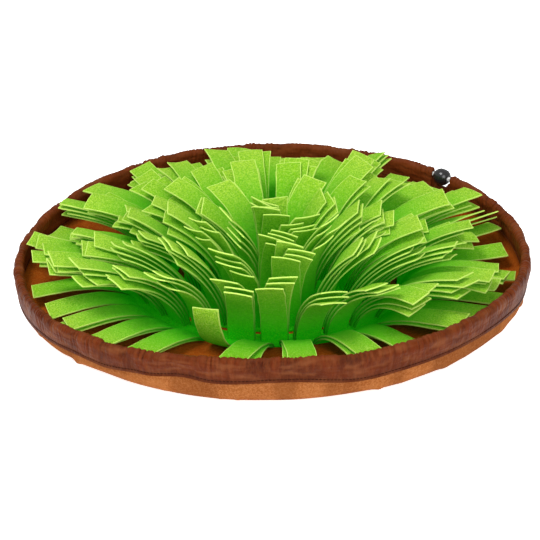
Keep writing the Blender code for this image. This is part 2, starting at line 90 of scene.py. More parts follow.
OUTER_BUNDLES = (  # azimuth, step outwards, turn, strips, length, leans at root, middle and tip, roll
    (258, 0, 4, 3, 90, 4, 34, 60, 6), (271, 0, -6, 3, 88, 2, 32, 60, -4),
    (284, 0, 6, 3, 88, 6, 42, 68, 6), (254, 8, -10, 2, 76, 84, 30, -8, 0),
    (241, 9, -14, 2, 84, 60, 90, 91, 0), (229, 9, -10, 2, 88, 58, 90, 92, 0),
    (217, 8, -8, 2, 90, 56, 88, 92, 0), (205, 7, -6, 1, 96, 58, 88, 92, 8),
    (193, 7, -4, 1, 96, 60, 88, 90, 0), (266, 9, -14, 2, 78, 50, 86, 98, 0),
    (278, 9, -4, 2, 78, 46, 86, 106, 0), (290, 9, 6, 2, 84, 40, 84, 106, 0),
    (302, 8, 12, 2, 88, 50, 88, 94, 6), (314, 7, 14, 2, 92, 54, 88, 94, -8),
    (326, 7, 8, 1, 94, 56, 88, 90, 0), (338, 7, 8, 1, 98, 58, 88, 90, 0),
    (350, 7, 8, 1, 98, 58, 87, 90, 6), (2, 7, 10, 1, 98, 56, 87, 88, -6),
    (14, 7, 8, 1, 96, 54, 85, 86, 8), (166, 7, -6, 1, 96, 58, 87, 90, 0),
    (179, 7, -4, 2, 98, 58, 88, 90, 6),
    (241, -5, -12, 3, 92, 8, 40, 64, 0), (228, -5, -10, 4, 94, 14, 50, 72, 4),
    (215, -5, -6, 4, 96, 20, 60, 80, 0), (202, -5, -3, 4, 100, 26, 68, 82, 8),
    (297, -5, 10, 3, 92, 10, 46, 70, 0), (310, -5, 6, 4, 94, 16, 56, 80, -6),
    (323, -5, 2, 4, 98, 24, 66, 84, 4), (336, -5, 0, 4, 100, 30, 76, 88, 0),
    (349, -4, -3, 3, 102, 34, 84, 88, 8), (189, -4, -3, 3, 104, 32, 78, 84, 0),
    (0, 0, -4, 3, 104, 34, 80, 84, -20), (13, 0, 8, 3, 102, 30, 78, 82, 30),
    (26, 0, 6, 4, 98, 28, 78, 82, 0), (39, 0, 8, 3, 92, 30, 80, 84, 0),
    (51, 0, -4, 3, 92, 30, 82, 88, 5), (64, 0, -12, 3, 102, 26, 72, 80, 25),
    (77, 0, 4, 3, 94, 28, 80, 86, 0), (90, 0, 0, 3, 92, 28, 80, 88, 0),
    (103, 0, -5, 3, 102, 26, 72, 80, -8), (116, 0, -8, 3, 92, 28, 80, 88, 0),
    (129, 0, 4, 4, 94, 28, 80, 86, 10), (141, 0, 8, 4, 96, 28, 80, 86, 0),
    (154, 0, 8, 4, 98, 30, 80, 88, -12), (167, 0, 0, 4, 98, 32, 82, 90, 0),
    (180, 0, -3, 3, 104, 34, 84, 88, 8),
)
CAD_FELT_THICK = 0.0015
LAYER_GAP = 0.0023
LAYER_OPENING = 1.0  # share by which that grows towards the tips
LAYER_DRIFT = 0.012  # of a strip's tip sideways
BACKING_HALF = 0.0112
BACKING_THICK = 0.0020
ROOT_DEPTH = 0.0012  # inside the backing
GUIDE_STEP = 0.004
SPLITS = (0.0, 0.18, 0.52, 1.0)  # where a strip's solid bends
FRONT_SPLITS = (0.0, 0.14, 0.36, 0.66, 1.0)  # the same in the outermost row beyond FRONT_FROM
FRONT_FROM = 160  # degrees
STRIP_CLEARANCE = 0.0005
PLACE_SPREAD = 0.1
BUNDLE_YAW = 11
LEAN_SPREAD = 8
LENGTH_SPREAD = 0.007
ROLL_SPREAD = 17
LIFT_STEP = 1.5
LIFT_MOST = 24
ROOT_LIFT = 0.5
EDGE_MARGIN = 0.006  # inside the floor's edge, from where strips clear the wall
EDGE_RISE = 1.2
CREST_MARGIN = 0.003  # inside the casing, from where they pass over it
CREST_CLEARANCE = 0.004
BACK_Y = 0.150  # beyond this Y the strips stay under a falling top
BACK_TOP = 0.086
BACK_FALL = 0.5
SEED = 68

# ---- What is finer here than in the solids. ----

FELT_THICK = 0.0014
FELT_STEPS = 22  # along a strip
LIP = 0.0007  # how far the cut edge, painted paler as a highlight, reaches onto a strip's faces
ACROSS = (-1.0, -1 + 2 * LIP / STRIP_WIDTH, -0.5, 0.0, 0.5, 1 - 2 * LIP / STRIP_WIDTH, 1.0)
LIP_THIN = 0.72  # share of the thickness there
CUP_MOST = 0.0016  # of the strips' edges off their middle
CUP_SPREAD = 0.0002
CUP_MIDDLE = 0.4
SHIFT_MOST = 0.0004
SLANT_MOST = 0.0018
NARROWEST = 0.95
WOBBLE_MOST = 0.0002
WOBBLE_TURN = 9
WOBBLE_PHASE = 6.3
FREEING = 2.5  # how fast a strip starts to cup and shift from its foot
FINE_LIFTS = (0, 0.8, -0.8, 1.6, -1.6, 2.4, -2.4, 3.4, -3.4, 4.6, -4.6)
FINE_ROOT_LIFT = 0.4
FINE_SEED = 12


def clamp(t):
    return min(max(t, 0), 1)


def smooth(t):
    return t * t * (3 - 2 * t)


def bell(offset, width):
    """1 at no offset, and less on both sides of it."""
    return math.exp(-((offset / width) ** 2))


def turns(count):
    """The angles of points round a circle, in radians."""
    return [2 * math.pi * i / count for i in range(count)]


def spaced(first, last, steps):
    return [first + (last - first) * i / steps for i in range(steps + 1)]


def within(chance, most):
    return chance.uniform(-most, most)


def rim_at(azimuth):
    """Crest height, floor radius and band height, eased between the rows of RIM."""
    azimuth %= 360
    for before, after in zip(RIM, RIM[1:]):
        if azimuth <= after[0]:
            t = smooth((azimuth - before[0]) / (after[0] - before[0]))
            return tuple((a + (b - a) * t) * MM for a, b in zip(before[1:], after[1:]))


def seam_height(azimuth):
    crest, _, band = rim_at(azimuth)
    return crest - band


def seam_slack(azimuth):
    """From 0 where the seam lies close to the floor to 1 where it waves in full."""
    return clamp((seam_height(azimuth) - SLACK_FROM) / SLACK_OVER)


def seam_wave(azimuth):
    wave = sum(size * math.sin(waves * math.radians(azimuth) + phase) for size, waves, phase in SEAM_WAVES)
    return wave * MM * seam_slack(azimuth)


def around(radius, azimuth, height):
    angle = math.radians(azimuth)
    return Vector((radius * math.cos(angle), radius * math.sin(angle), height))


def tangent(azimuth):
    angle = math.radians(azimuth)
    return Vector((-math.sin(angle), math.cos(angle), 0))


def channel_point(azimuth):
    return around(WALL_RADIUS, azimuth, rim_at(azimuth)[0] - CHANNEL_DROP)


# ---- Materials. ----


class Nodes:
    """A material's node tree with short calls to add and join nodes."""

    def __init__(self, name, roughness, viewport, specular, sheen=(0.0, 0.5, (1.0, 1.0, 1.0))):
        self.material = bpy.data.materials.new(name)
        self.material.use_nodes = True
        self.tree = self.material.node_tree
        self.shader = self.tree.nodes["Principled BSDF"]
        self.shade(Roughness=roughness, Specular_IOR_Level=specular)
        weight, sheen_roughness, tint = sheen
        self.shade(Sheen_Weight=weight, Sheen_Roughness=sheen_roughness, Sheen_Tint=(*tint, 1))
        self.material.diffuse_color = (*viewport, 1)
        self.place = self.tree.nodes.new("ShaderNodeTexCoord").outputs["Object"]

    def add(self, kind, inputs=(), **settings):
        node = self.tree.nodes.new(kind)
        for name, value in settings.items():
            setattr(node, name, value)
        self.feed(node, dict(inputs))
        return node

    def feed(self, node, inputs):
        for name, value in inputs.items():
            if isinstance(value, bpy.types.NodeSocket):
                self.tree.links.new(value, node.inputs[name])
            else:
                node.inputs[name].default_value = value

    def shade(self, **sockets):
        self.feed(self.shader, {name.replace("_", " "): value for name, value in sockets.items()})

    def noise(self, scale, detail, roughness, stretch=None, turn=0.0, place=None):
        place = self.place if place is None else place
        if stretch:
            inputs = {"Vector": place, "Scale": stretch, "Rotation": (0, 0, turn)}
            place = self.add("ShaderNodeMapping", inputs).outputs["Vector"]
        inputs = {"Vector": place, "Scale": scale, "Detail": detail, "Roughness": roughness}
        return self.add("ShaderNodeTexNoise", inputs).outputs["Fac"]

    def spread(self, value, low, high, low_to=0.0, high_to=1.0):
        inputs = {"Value": value, "From Min": low, "From Max": high, "To Min": low_to, "To Max": high_to}
        return self.add("ShaderNodeMapRange", inputs).outputs["Result"]

    def math(self, operation, a, b):
        return self.add("ShaderNodeMath", {0: a, 1: b}, operation=operation).outputs[0]

    def mix(self, factor, a, b):
        a, b = ((*color, 1) if isinstance(color, tuple) else color for color in (a, b))
        return self.add("ShaderNodeMix", {0: factor, 6: a, 7: b}, data_type="RGBA").outputs[2]

    def tint(self, color, other, value, low, high, most=1.0):
        """The colour, and up to this share of the other as the value goes from low to high."""
        return self.mix(self.spread(value, low, high, 0.0, most), color, other)

    def attribute(self, name):
        return self.add("ShaderNodeAttribute", attribute_name=name).outputs["Fac"]

    def finish(self, color, *bumps):
        """Joins the colour and the bumps, each (height, strength, depth in metres)."""
        normal = {}
        for height, strength, depth in bumps:
            inputs = {"Height": height, "Strength": strength, "Distance": depth, **normal}
            normal = {"Normal": self.add("ShaderNodeBump", inputs).outputs["Normal"]}
        self.shade(Base_Color=color, **normal)
        return self.material


def felt_material():
    """Needled felt in fine speckle, each strip of its own tone, with painted shade that darkens it to a
    strong green towards the roots, where a weak emission stands for light passed from strip to strip."""
    nodes = Nodes("felt_green", 0.95, (0.35, 0.65, 0.05), 0.06, sheen=(0.03, 0.4, (0.7, 1.0, 0.3)))
    tone = nodes.attribute("tone")
    matting = nodes.noise(460, 4.0, 0.75)
    speckle = nodes.noise(820, 2.0, 0.8)
    dark = nodes.spread(speckle, 0.42, 0.62)
    # painted shade: the strong dark green of the roots, in speckle
    root_shade = nodes.mix(dark, (0.002, 0.30, 0.0008), (0.04, 0.47, 0.003))
    lit = nodes.mix(tone, (0.255, 0.485, 0.014), (0.385, 0.56, 0.042))
    lit = nodes.tint(lit, (0.55, 0.70, 0.13), matting, 0.44, 0.64, 0.6)
    lit = nodes.tint(lit, (0.08, 0.35, 0.003), dark, 0.0, 1.0, 0.75)
    share = nodes.attribute("share")
    # painted shade: the roots' colour, going over into the lit colour towards the tips
    color = nodes.tint(root_shade, lit, share, 0.12, 0.95)
    passed = nodes.tint((0.0, 0.11, 0.0), (0.006, 0.085, 0.0), share, 0.0, 0.9)
    passed = nodes.tint(passed, (0.0, 0.0, 0.0), dark, 0.0, 1.0, 0.7)
    nodes.shade(Emission_Color=passed, Emission_Strength=1.0)
    return nodes.finish(color, (matting, 1.0, 0.0014), (speckle, 0.9, 0.0009))


def felt_edge_material():
    """The cut edge of the felt: a painted highlight makes it paler, with loose fibres, towards the tip, and
    painted shade darkens it towards the root.
    """
    nodes = Nodes("felt_cut_edge", 0.95, (0.6, 0.85, 0.25), 0.06, sheen=(0.05, 0.5, (0.9, 1.0, 0.5)))
    fibres = nodes.noise(1300, 3.0, 0.7)
    # painted highlight: the cut edge paler, varied by its fibres
    edge_highlight = nodes.tint((0.36, 0.60, 0.05), (0.62, 0.80, 0.20), fibres, 0.3, 0.7)
    # painted shade: darker towards the root
    color = nodes.tint((0.01, 0.30, 0.001), edge_highlight, nodes.attribute("share"), 0.1, 0.8)
    return nodes.finish(color, (fibres, 0.6, 0.0003))


def suede_material():
    """Faux suede with a short nap, painted redder and darker inside the dish as shade, painted paler on its
    outer face as light from the floor, and folded on its outer face with painted shade in the folds.
    """
    nodes = Nodes("suede_tan", 0.92, (0.5, 0.21, 0.09), 0.02, sheen=(0.01, 0.4, (1.0, 0.7, 0.45)))
    inside = nodes.attribute("inside")
    clouds = nodes.noise(38, 3.0, 0.55)
    worn = nodes.spread(clouds, 0.3, 0.7)
    # painted light: the outer face paler, as lit from the floor
    outer = nodes.mix(worn, (0.205, 0.055, 0.012), (0.31, 0.105, 0.026))
    # painted shade: the inner face darker and redder, as shaded inside the dish
    inner = nodes.mix(worn, (0.25, 0.036, 0.001), (0.35, 0.07, 0.004))
    color = nodes.mix(inside, outer, inner)
    nap = nodes.noise(520, 4.0, 0.7)
    # the nap's tips, darker inside the dish as painted shade
    tips = nodes.mix(inside, (0.42, 0.165, 0.056), (0.42, 0.11, 0.014))
    color = nodes.tint(color, tips, nap, 0.4, 0.62, 0.7)
    grain = nodes.noise(1400, 2.0, 0.6)
    color = nodes.tint(color, (0.13, 0.03, 0.005), grain, 0.42, 0.62, 0.45)
    folds = nodes.noise(24, 2.0, 0.45, (1, 1, 0.22))
    outside = nodes.math("SUBTRACT", 1.0, inside)
    # painted shade: darker in the outer face's folds
    fold_shade = nodes.math("MULTIPLY", nodes.spread(folds, 0.52, 0.40), outside)
    color = nodes.tint(color, (0.11, 0.026, 0.005), fold_shade, 0.0, 1.0, 0.42)
    bumps = ((nap, 0.5, 0.0004), (clouds, 0.25, 0.0012), (grain, 0.3, 0.0002), (folds, 0.9, 0.009))
    return nodes.finish(color, *bumps)


def casing_material():
    """Brown satiny cloth with a fine weave; paler streaks and patches on its crumples and a paler rolled top
    are painted highlights, and painted shade darkens the gathers' valleys and the seam.
    """
    nodes = Nodes("casing_satin", 0.48, (0.2, 0.05, 0.02), 0.06)
    gather_shade = nodes.attribute("gather_shade")
    run, rise = nodes.attribute("run"), nodes.attribute("rise")
    flat = nodes.add("ShaderNodeCombineXYZ", {"X": run, "Y": rise, "Z": 0.0}).outputs["Vector"]
    # painted shade in the gathers' valleys and at the stitches, painted highlight on their ridges
    color = nodes.tint((0.030, 0.0042, 0.0006), (0.105, 0.0165, 0.0022), gather_shade, 0.0, 0.9)
    streaks = nodes.noise(1.0, 3.0, 0.55, (330, 85, 1), 0.4, flat)
    cross = nodes.noise(1.0, 2.0, 0.5, (200, 70, 1), -0.35, flat)
    both = nodes.math("MULTIPLY", streaks, cross)
    # painted highlight: paler satin streaks where the two noises meet
    color = nodes.tint(color, (0.18, 0.050, 0.013), both, 0.18, 0.46, 0.6)
    clouds = nodes.noise(1.0, 2.0, 0.5, (60, 60, 1), 0.0, flat)
    color = nodes.tint(color, (0.055, 0.009, 0.0018), clouds, 0.35, 0.7, 0.4)
    patches = nodes.noise(1.0, 2.0, 0.5, (34, 95, 1), 0.25, flat)
    # painted highlight: paler soft patches
    color = nodes.tint(color, (0.185, 0.058, 0.019), patches, 0.5, 0.68, 0.6)
    # painted shade: darker near the seam
    seam_shade = nodes.spread(rise, 0.001, 0.009, 0.5, 0.0)
    color = nodes.mix(seam_shade, color, (0.05, 0.009, 0.002))
    # painted highlight: paler from the rolled top on
    color = nodes.tint(color, (0.19, 0.040, 0.0075), rise, 0.022, 0.034, 0.55)
    weave = nodes.noise(1100, 2.0, 0.5)
    color = nodes.tint(color, (0.15, 0.033, 0.006), weave, 0.35, 0.7, 0.22)
    return nodes.finish(color, (both, 0.75, 0.0026), (patches, 0.6, 0.006), (weave, 0.3, 0.0002))


def thread_material():
    nodes = Nodes("seam_thread", 0.8, (0.06, 0.015, 0.008), 0.05)
    twist = nodes.noise(1800, 1.0, 0.5)
    color = nodes.mix(twist, (0.022, 0.005, 0.002), (0.06, 0.015, 0.006))
    return nodes.finish(color, (twist, 0.4, 0.0001))


def braid_material():
    nodes = Nodes("cord_white", 0.6, (0.7, 0.69, 0.67), 0.5, sheen=(0.3, 0.4, (1.0, 1.0, 1.0)))
    # painted shade: darker in the braid's grooves, paler on its crowns
    color = nodes.mix(nodes.attribute("crown_and_groove_shade"), (0.28, 0.27, 0.27), (0.80, 0.79, 0.77))
    fuzz = nodes.noise(2500, 2.0, 0.5)
    return nodes.finish(color, (fuzz, 0.3, 0.0001))


def plastic_material():
    nodes = Nodes("lock_black", 0.2, (0.01, 0.01, 0.01), 0.5)
    wear = nodes.noise(300, 3.0, 0.6)
    color = nodes.mix(wear, (0.008, 0.008, 0.009), (0.022, 0.02, 0.019))
    return nodes.finish(color, (wear, 0.06, 0.0002))


# ---- Meshes. ----


def add_object(name, data):
    made = bpy.data.objects.new(name, data)
    bpy.context.scene.collection.objects.link(made)
    return made


def add_piece(name, points, faces, finishes, sharp_degrees, indices=None, attributes=()):
    """A shown piece of the mat, on the mat's one body, in its materials."""
    mesh = bpy.data.meshes.new(name)
    mesh.from_pydata([tuple(p) for p in points], [], faces)
    for finish in finishes:
        mesh.materials.append(finish)
    if indices is not None:
        mesh.polygons.foreach_set("material_index", indices)
    for label, values in dict(attributes).items():
        layer = mesh.attributes.new(label, "FLOAT", "POINT")
        layer.data.foreach_set("value", np.asarray(values, dtype=np.float32))
    mesh.validate()
    mesh.update()
    mesh.shade_smooth()
    mesh.set_sharp_from_angle(angle=math.radians(sharp_degrees))
    piece = add_object(name, mesh)
    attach(piece, "root")
    return piece


def grid_faces(rounds, size, closed_rounds, closed_size, start=0):
    """Quads between neighbouring points of a grid of this many rounds of this size."""
    faces = []
    for i in range(rounds if closed_rounds else rounds - 1):
        here, there = start + i * size, start + (i + 1) % rounds * size
        for k in range(size if closed_size else size - 1):
            after = (k + 1) % size
            faces.append((here + k, here + after, there + after, there + k))
    return faces


# ---- The fringe: the solids' own layout first, then the same bundles in finer strips. ----

BAR_FACES = ((0, 1, 5), (0, 5, 4), (1, 2, 6, 5), (2, 3, 6), (3, 7, 6), (3, 0, 4, 7))
BACKING_HOLE = 0.0015
BACKING_EDGE = 0.0003
BACKING_STEPS = 40
BACKING_STEP = 0.002
BACKING_SHARE, BACKING_TONE = 0.1, 0.5  # the share and tone that backings take; that share gives them the roots' painted shade and glow


class Bundle:
    """Felt strips that leave the backing together and stay one on another as they bend over."""

    def __init__(self, foot, heading, leans, roll, length, layers, splits):
        self.foot = foot
        self.heading = heading
        self.leans = leans
        self.roll = roll
        self.length = length
        self.splits = splits
        self.layers = layers  # of each strip: distance off the lowest one, sideways drift, length

    def lean_at(self, share):
        root, middle, tip = self.leans
        rest = 1 - share
        return root * rest * (rest - share) + 4 * middle * share * rest + tip * share * (share - rest)

    def guide(self, distances):
        """(middle, across, off the face) of the bundle at each of these distances from its foot."""
        outwards, side = around(1, self.heading, 0), tangent(self.heading)
        place, walked, found = self.foot.copy(), 0.0, []
        for distance in distances:
            while walked < distance - 1e-9:
                step = min(GUIDE_STEP, distance - walked)
                lean = math.radians(self.lean_at((walked + step / 2) / self.length))
                place = place + (outwards * math.sin(lean) + Vector((0, 0, math.cos(lean)))) * step
                walked += step
            lean = math.radians(self.lean_at(distance / self.length))
            face = outwards * math.cos(lean) - Vector((0, 0, math.sin(lean)))
            roll = math.radians(self.roll * smooth(min(distance / self.length, 1)))
            across = side * math.cos(roll) + face * math.sin(roll)
            found.append((place.copy(), across, face * math.cos(roll) - side * math.sin(roll)))
        return found

    def strip(self, layer, splits):
        """The same of one strip at these shares of its length."""
        off_middle, drift, length = self.layers[layer]
        found = []
        places = self.guide([share * length for share in splits])
        for share, (middle, across, off) in zip(splits, places):
            if share == 0:
                off = around(1, self.heading, 0)
            sideways = across * drift * share * share
            middle = middle - off * off_middle * (1 + LAYER_OPENING * share) + sideways
            found.append((middle, across, off))
        return found

    def solid(self, spare):
        """The strips as bent bars of four sides, grown by this much."""
        half, thick = STRIP_WIDTH / 2 + spare, CAD_FELT_THICK / 2 + spare
        points, faces = [], []
        for layer in range(len(self.layers)):
            start = len(points)
            for middle, across, off in self.strip(layer, self.splits):
                a, b = across * half, off * thick
                points += [middle - a - b, middle + a - b, middle + a + b, middle - a + b]
            faces += [(start, start + 1, start + 2, start + 3), tuple(range(len(points) - 4, len(points)))]
            for here in range(start, len(points) - 4, 4):
                faces += [tuple(here + p for p in face) for face in BAR_FACES]
        return points, faces

    def clear_of_dish(self):
        """True if the strips stay off the base and casing, and low at the back."""
        floor = BASE_THICK + 2 * SEWING_GAP + CAD_FELT_THICK
        for layer in range(len(self.layers)):
            for middle, across, _ in self.strip(layer, self.splits)[2:]:
                for share in (-0.5, 0, 0.5):
                    point = middle + across * STRIP_WIDTH * share
                    radius = math.hypot(point.x, point.y)
                    crest, floor_radius, _ = rim_at(math.degrees(math.atan2(point.y, point.x)))
                    if point.z < floor + max(0.0, radius - floor_radius + EDGE_MARGIN) * EDGE_RISE:
                        return False
                    over_rim = radius > WALL_RADIUS - CHANNEL_HALF - CREST_MARGIN
                    if over_rim and point.z < crest + CREST_CLEARANCE:
                        return False
                    if point.y > BACK_Y and point.z > BACK_TOP - (point.y - BACK_Y) * BACK_FALL:
                        return False
        return True


def settle(bundle, trees):
    """Leans the bundle as little as clears the dish and the bundles already laid."""
    root, middle, tip = bundle.leans
    tries = int(LIFT_MOST / LIFT_STEP)
    for lift in sorted((LIFT_STEP * i for i in range(-tries, tries + 1)), key=abs):
        bundle.leans = (root - ROOT_LIFT * lift, middle - lift, tip - lift)
        if bundle.clear_of_dish():
            tree = BVHTree.FromPolygons(*bundle.solid(STRIP_CLEARANCE))
            if not any(tree.overlap(other) for other in trees):
                trees.append(tree)
                return True
    return False


def combed(azimuth, leans):
    """Heading and leans of a bundle at an azimuth, once the front half is combed backwards."""
    comb = math.sqrt(max(-math.sin(math.radians(azimuth)), 0))
    outwards, backwards = around(1, azimuth, 0), Vector((0, 1, 0))
    root, middle, tip = (outwards + backwards * comb * share for share in COMB)
    heading = math.degrees(math.atan2(middle.y, middle.x))
    ahead = middle.normalized()
    return heading, tuple(lean * part.dot(ahead) for lean, part in zip(leans, (root, middle, tip)))


def inner_rows(ring, chance):
    radius, length, bundles, first, count, at_back, elsewhere = RINGS[ring]
    rows = []
    for i in range(bundles):
        azimuth = first + 360 * (i + within(chance, PLACE_SPREAD)) / bundles
        to_back = max(math.sin(math.radians(azimuth)), 0)
        leans = [a + (b - a) * to_back for a, b in zip(elsewhere, at_back)]
        heading, leans = combed(azimuth, leans)
        more = within(chance, LEAN_SPREAD)
        leans = (leans[0] + more / 2, leans[1] + more, leans[2] + more)
        yaw = within(chance, BUNDLE_YAW)
        roll = within(chance, ROLL_SPREAD)
        rows.append((azimuth, radius * MM, heading + yaw, count, length, leans, roll))
    return rows


def outer_rows():
    return [
        (azimuth, OUTER_RADIUS + out * MM, azimuth + turn, count, length, leans, roll)
        for azimuth, out, turn, count, length, *leans, roll in OUTER_BUNDLES
    ]


def lay_bundles():
    """The bundles of each row, laid from the outermost inwards; one that finds no room loses strips."""
    chance = random.Random(SEED)
    rings, trees = [], []
    for ring in reversed(range(len(RINGS) + 1)):
        rings.insert(0, [])
        outermost = ring == len(RINGS)
        rows = outer_rows() if outermost else inner_rows(ring, chance)
        for azimuth, radius, heading, count, length, leans, roll in rows:
            layers = [
                (LAYER_GAP * layer, within(chance, LAYER_DRIFT), length * MM + within(chance, LENGTH_SPREAD))
                for layer in range(count)
            ]
            foot = around(radius, azimuth, BASE_THICK + SEWING_GAP + BACKING_THICK - ROOT_DEPTH)
            foot += around(LAYER_GAP * (count - 1) / 2, heading, 0)
            splits = FRONT_SPLITS if outermost and azimuth > FRONT_FROM else SPLITS
            bundle = Bundle(foot, heading, leans, roll, length * MM, layers, splits)
            while bundle.layers and not settle(bundle, trees):
                bundle.leans = leans
                bundle.layers.pop()
            if bundle.layers:
                rings[0].append(bundle)
    return rings


class FineBundle:
    """A bundle with its strips cupped, slanted at the tip, unevenly spaced and in many steps."""

    def __init__(self, bundle, chance):
        self.bundle = bundle
        self.cup = within(chance, CUP_MOST)
        self.details = [
            {
                "shift": within(chance, SHIFT_MOST),
                "cup": within(chance, CUP_SPREAD),
                "slant": within(chance, SLANT_MOST),
                "narrow": chance.uniform(NARROWEST, 1.0),
                "tone": chance.random(),
                "wobble": [(within(chance, WOBBLE_MOST), chance.uniform(0, WOBBLE_PHASE)) for _ in range(3)],
            }
            for _ in bundle.layers
        ]
        self.shares = [*spaced(0, 1, FELT_STEPS)[:-1], 1 - LIP / bundle.length, 1.0]

    def strip_points(self, layer):
        """The strip's points, a round of two faces for each share of its length."""
        detail, rounds = self.details[layer], []
        half = STRIP_WIDTH / 2 * detail["narrow"]
        for share, (middle, across, off) in zip(self.shares, self.bundle.strip(layer, self.shares)):
            ahead = off.cross(across)
            freed = smooth(min(share * FREEING, 1.0))
            cup = (self.cup + detail["cup"]) * freed
            wobble = sum(
                size * math.sin(WOBBLE_TURN * share * (k + 1) + phase)
                for k, (size, phase) in enumerate(detail["wobble"])
            )
            middle = middle + off * detail["shift"] * freed + across * wobble
            up_face, down_face = [], []
            for u in ACROSS:
                at_lip = share == 1 or abs(u) == 1
                thick = FELT_THICK / 2 * (LIP_THIN if at_lip else 1.0)
                spot = middle + across * half * u + off * cup * (u * u - CUP_MIDDLE)
                spot = spot + ahead * detail["slant"] * u * share
                up_face.append(spot - off * thick)
                down_face.append(spot + off * thick)
            rounds.append(up_face + down_face[::-1])
        return rounds

    def mesh(self):
        """Points, faces, whether a face is a cut edge, and each point's share of the length and tone."""
        points, faces, edges, shares, tones = [], [], [], [], []
        size, wide = 2 * len(ACROSS), len(ACROSS)
        for layer in range(len(self.bundle.layers)):
            start = len(points)
            rounds = self.strip_points(layer)
            for share, ring in zip(self.shares, rounds):
                points += ring
                shares += [share] * size
                tones += [self.details[layer]["tone"]] * size
            for i in range(len(rounds) - 1):
                here, there = start + i * size, start + (i + 1) * size
                for k in range(size):
                    after = (k + 1) % size
                    faces.append((here + k, there + k, there + after, here + after))
                    at_side = k in (0, wide - 2, wide - 1, wide, size - 2, size - 1)
                    edges.append(int(at_side or i == len(rounds) - 2))
            for end, flip in ((start, True), (len(points) - size, False)):
                for k in range(wide - 1):
                    quad = (end + k, end + k + 1, end + size - 2 - k, end + size - 1 - k)
                    faces.append(quad if flip else quad[::-1])
                    edges.append(1)
        return points, faces, edges, shares, tones

    def resettle(self, trees):
        """Moves the finer bundle's lean a little, if that clears it of the ones laid before."""
        root, middle, tip = self.bundle.leans
        best = None
        for lift in FINE_LIFTS:
            self.bundle.leans = (root - FINE_ROOT_LIFT * lift, middle - lift, tip - lift)
            tree = BVHTree.FromPolygons(*self.mesh()[:2])
            hits = sum(len(tree.overlap(other)) for other in trees)
            if best is None or hits < best[0]:
                best = (hits, self.bundle.leans, tree)
            if hits == 0:
                break
        self.bundle.leans = best[1]
        trees.append(best[2])


def backing_mesh(radius, is_disc):
    """A felt disc with its edge bevelled, or a narrow ring."""
    low = BASE_THICK + SEWING_GAP
    high = low + FELT_THICK
    inner, outer = radius - BACKING_HALF, radius + BACKING_HALF
    steps = round(BACKING_STEPS + radius / BACKING_STEP)
    if is_disc:
        near, bevel = outer - BACKING_EDGE, BACKING_EDGE
        profile = [(near, low), (outer, low + bevel), (outer, high - bevel), (near, high)]
        profile = [(BACKING_HOLE, low), *profile, (BACKING_HOLE, high)]
    else:
        profile = [(inner, low), (outer, low), (outer, high), (inner, high)]
    points = [around(r, 360 * i / steps, z) for i in range(steps) for r, z in profile]
    return points, grid_faces(steps, len(profile), True, True)


def build_fringe(name, node, radius, is_disc, bundles, finishes):
    """A backing with the strips of these bundles, in the felt's two materials."""
    points, faces = backing_mesh(radius, is_disc)
    edges = [0] * len(faces)
    shares, tones = [BACKING_SHARE] * len(points), [BACKING_TONE] * len(points)
    for fine in bundles:
        more_points, more_faces, *more = fine.mesh()
        faces += [tuple(len(points) + p for p in face) for face in more_faces]
        points += more_points
        for values, added in zip((edges, shares, tones), more):
            values += added
    attributes = {"share": shares, "tone": tones}
    piece = add_piece(name, points, faces, finishes, 50, edges, attributes)
    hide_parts(node)
    backing_area = math.pi * (radius + BACKING_HALF) ** 2
    if not is_disc:
        backing_area -= math.pi * (radius - BACKING_HALF) ** 2


# ---- The dish. ----

BASE_ROUNDS = 720
WALL_STEPS = 12
FLOOR_SHARES = (0.12, 0.25, 0.38, 0.5, 0.6, 0.68, 0.75, 0.81, 0.86, 0.9, 0.94, 0.97)
PUCKERS = (  # how many, their half widths in degrees and heights in millimetres
    (60, (1.2, 4.0), (-1.1, 1.1)),
    (22, (0.5, 0.9), (0.9, 1.5)),
)
PUCKER_SEED = 5


def base_line(azimuth):
    """(radius, height) along the middle of the base's cloth, from the edge of its flat underside upwards."""
    floor_radius = rim_at(azimuth)[1]
    seam = seam_height(azimuth)
    low, top = BASE_THICK / 2, seam - WALL_UPRIGHT - SEAM_REACH * seam_slack(azimuth)
    start, bend = (floor_radius, low), (WALL_RADIUS, low + WALL_BEND * (top - low))
    end = (WALL_RADIUS, top)
    line = []
    for t in spaced(0, 1, WALL_STEPS):
        a, b, c = (1 - t) ** 2, 2 * t * (1 - t), t * t
        line.append(tuple(a * p + b * q + c * r for p, q, r in zip(start, bend, end)))
    return line + [(WALL_RADIUS, seam + TUCK / 2), (WALL_RADIUS, seam + TUCK)]


def base_puckers():
    chance = random.Random(PUCKER_SEED)
    return [
        (chance.uniform(0, 360), chance.uniform(*widths), chance.uniform(*heights) * MM)
        for count, widths, heights in PUCKERS
        for _ in range(count)
    ]


def base_round(azimuth, pucker):
    """The base's lower points at an azimuth, outwards and up the wall, and its upper ones."""
    wall = base_line(azimuth)
    floor_radius = wall[0][0]
    line = [(floor_radius * share, BASE_THICK / 2) for share in FLOOR_SHARES] + wall
    lower, upper = [], []
    for k, (radius, height) in enumerate(line):
        before, after = line[max(k - 1, 0)], line[min(k + 1, len(line) - 1)]
        along = Vector((after[0] - before[0], after[1] - before[1])).normalized()
        off = Vector((along.y, -along.x))
        if radius <= floor_radius + 1e-6:
            off = Vector((0, -1))
        up_wall = clamp((k - len(FLOOR_SHARES)) / WALL_STEPS)
        shift = off * pucker * math.sin(math.pi * up_wall) ** 2
        half = off * BASE_THICK / 2
        lower.append(around(radius + half.x + shift.x, azimuth, height + half.y + shift.y))
        upper.append(around(radius - half.x + shift.x, azimuth, height - half.y + shift.y))
    return lower, upper


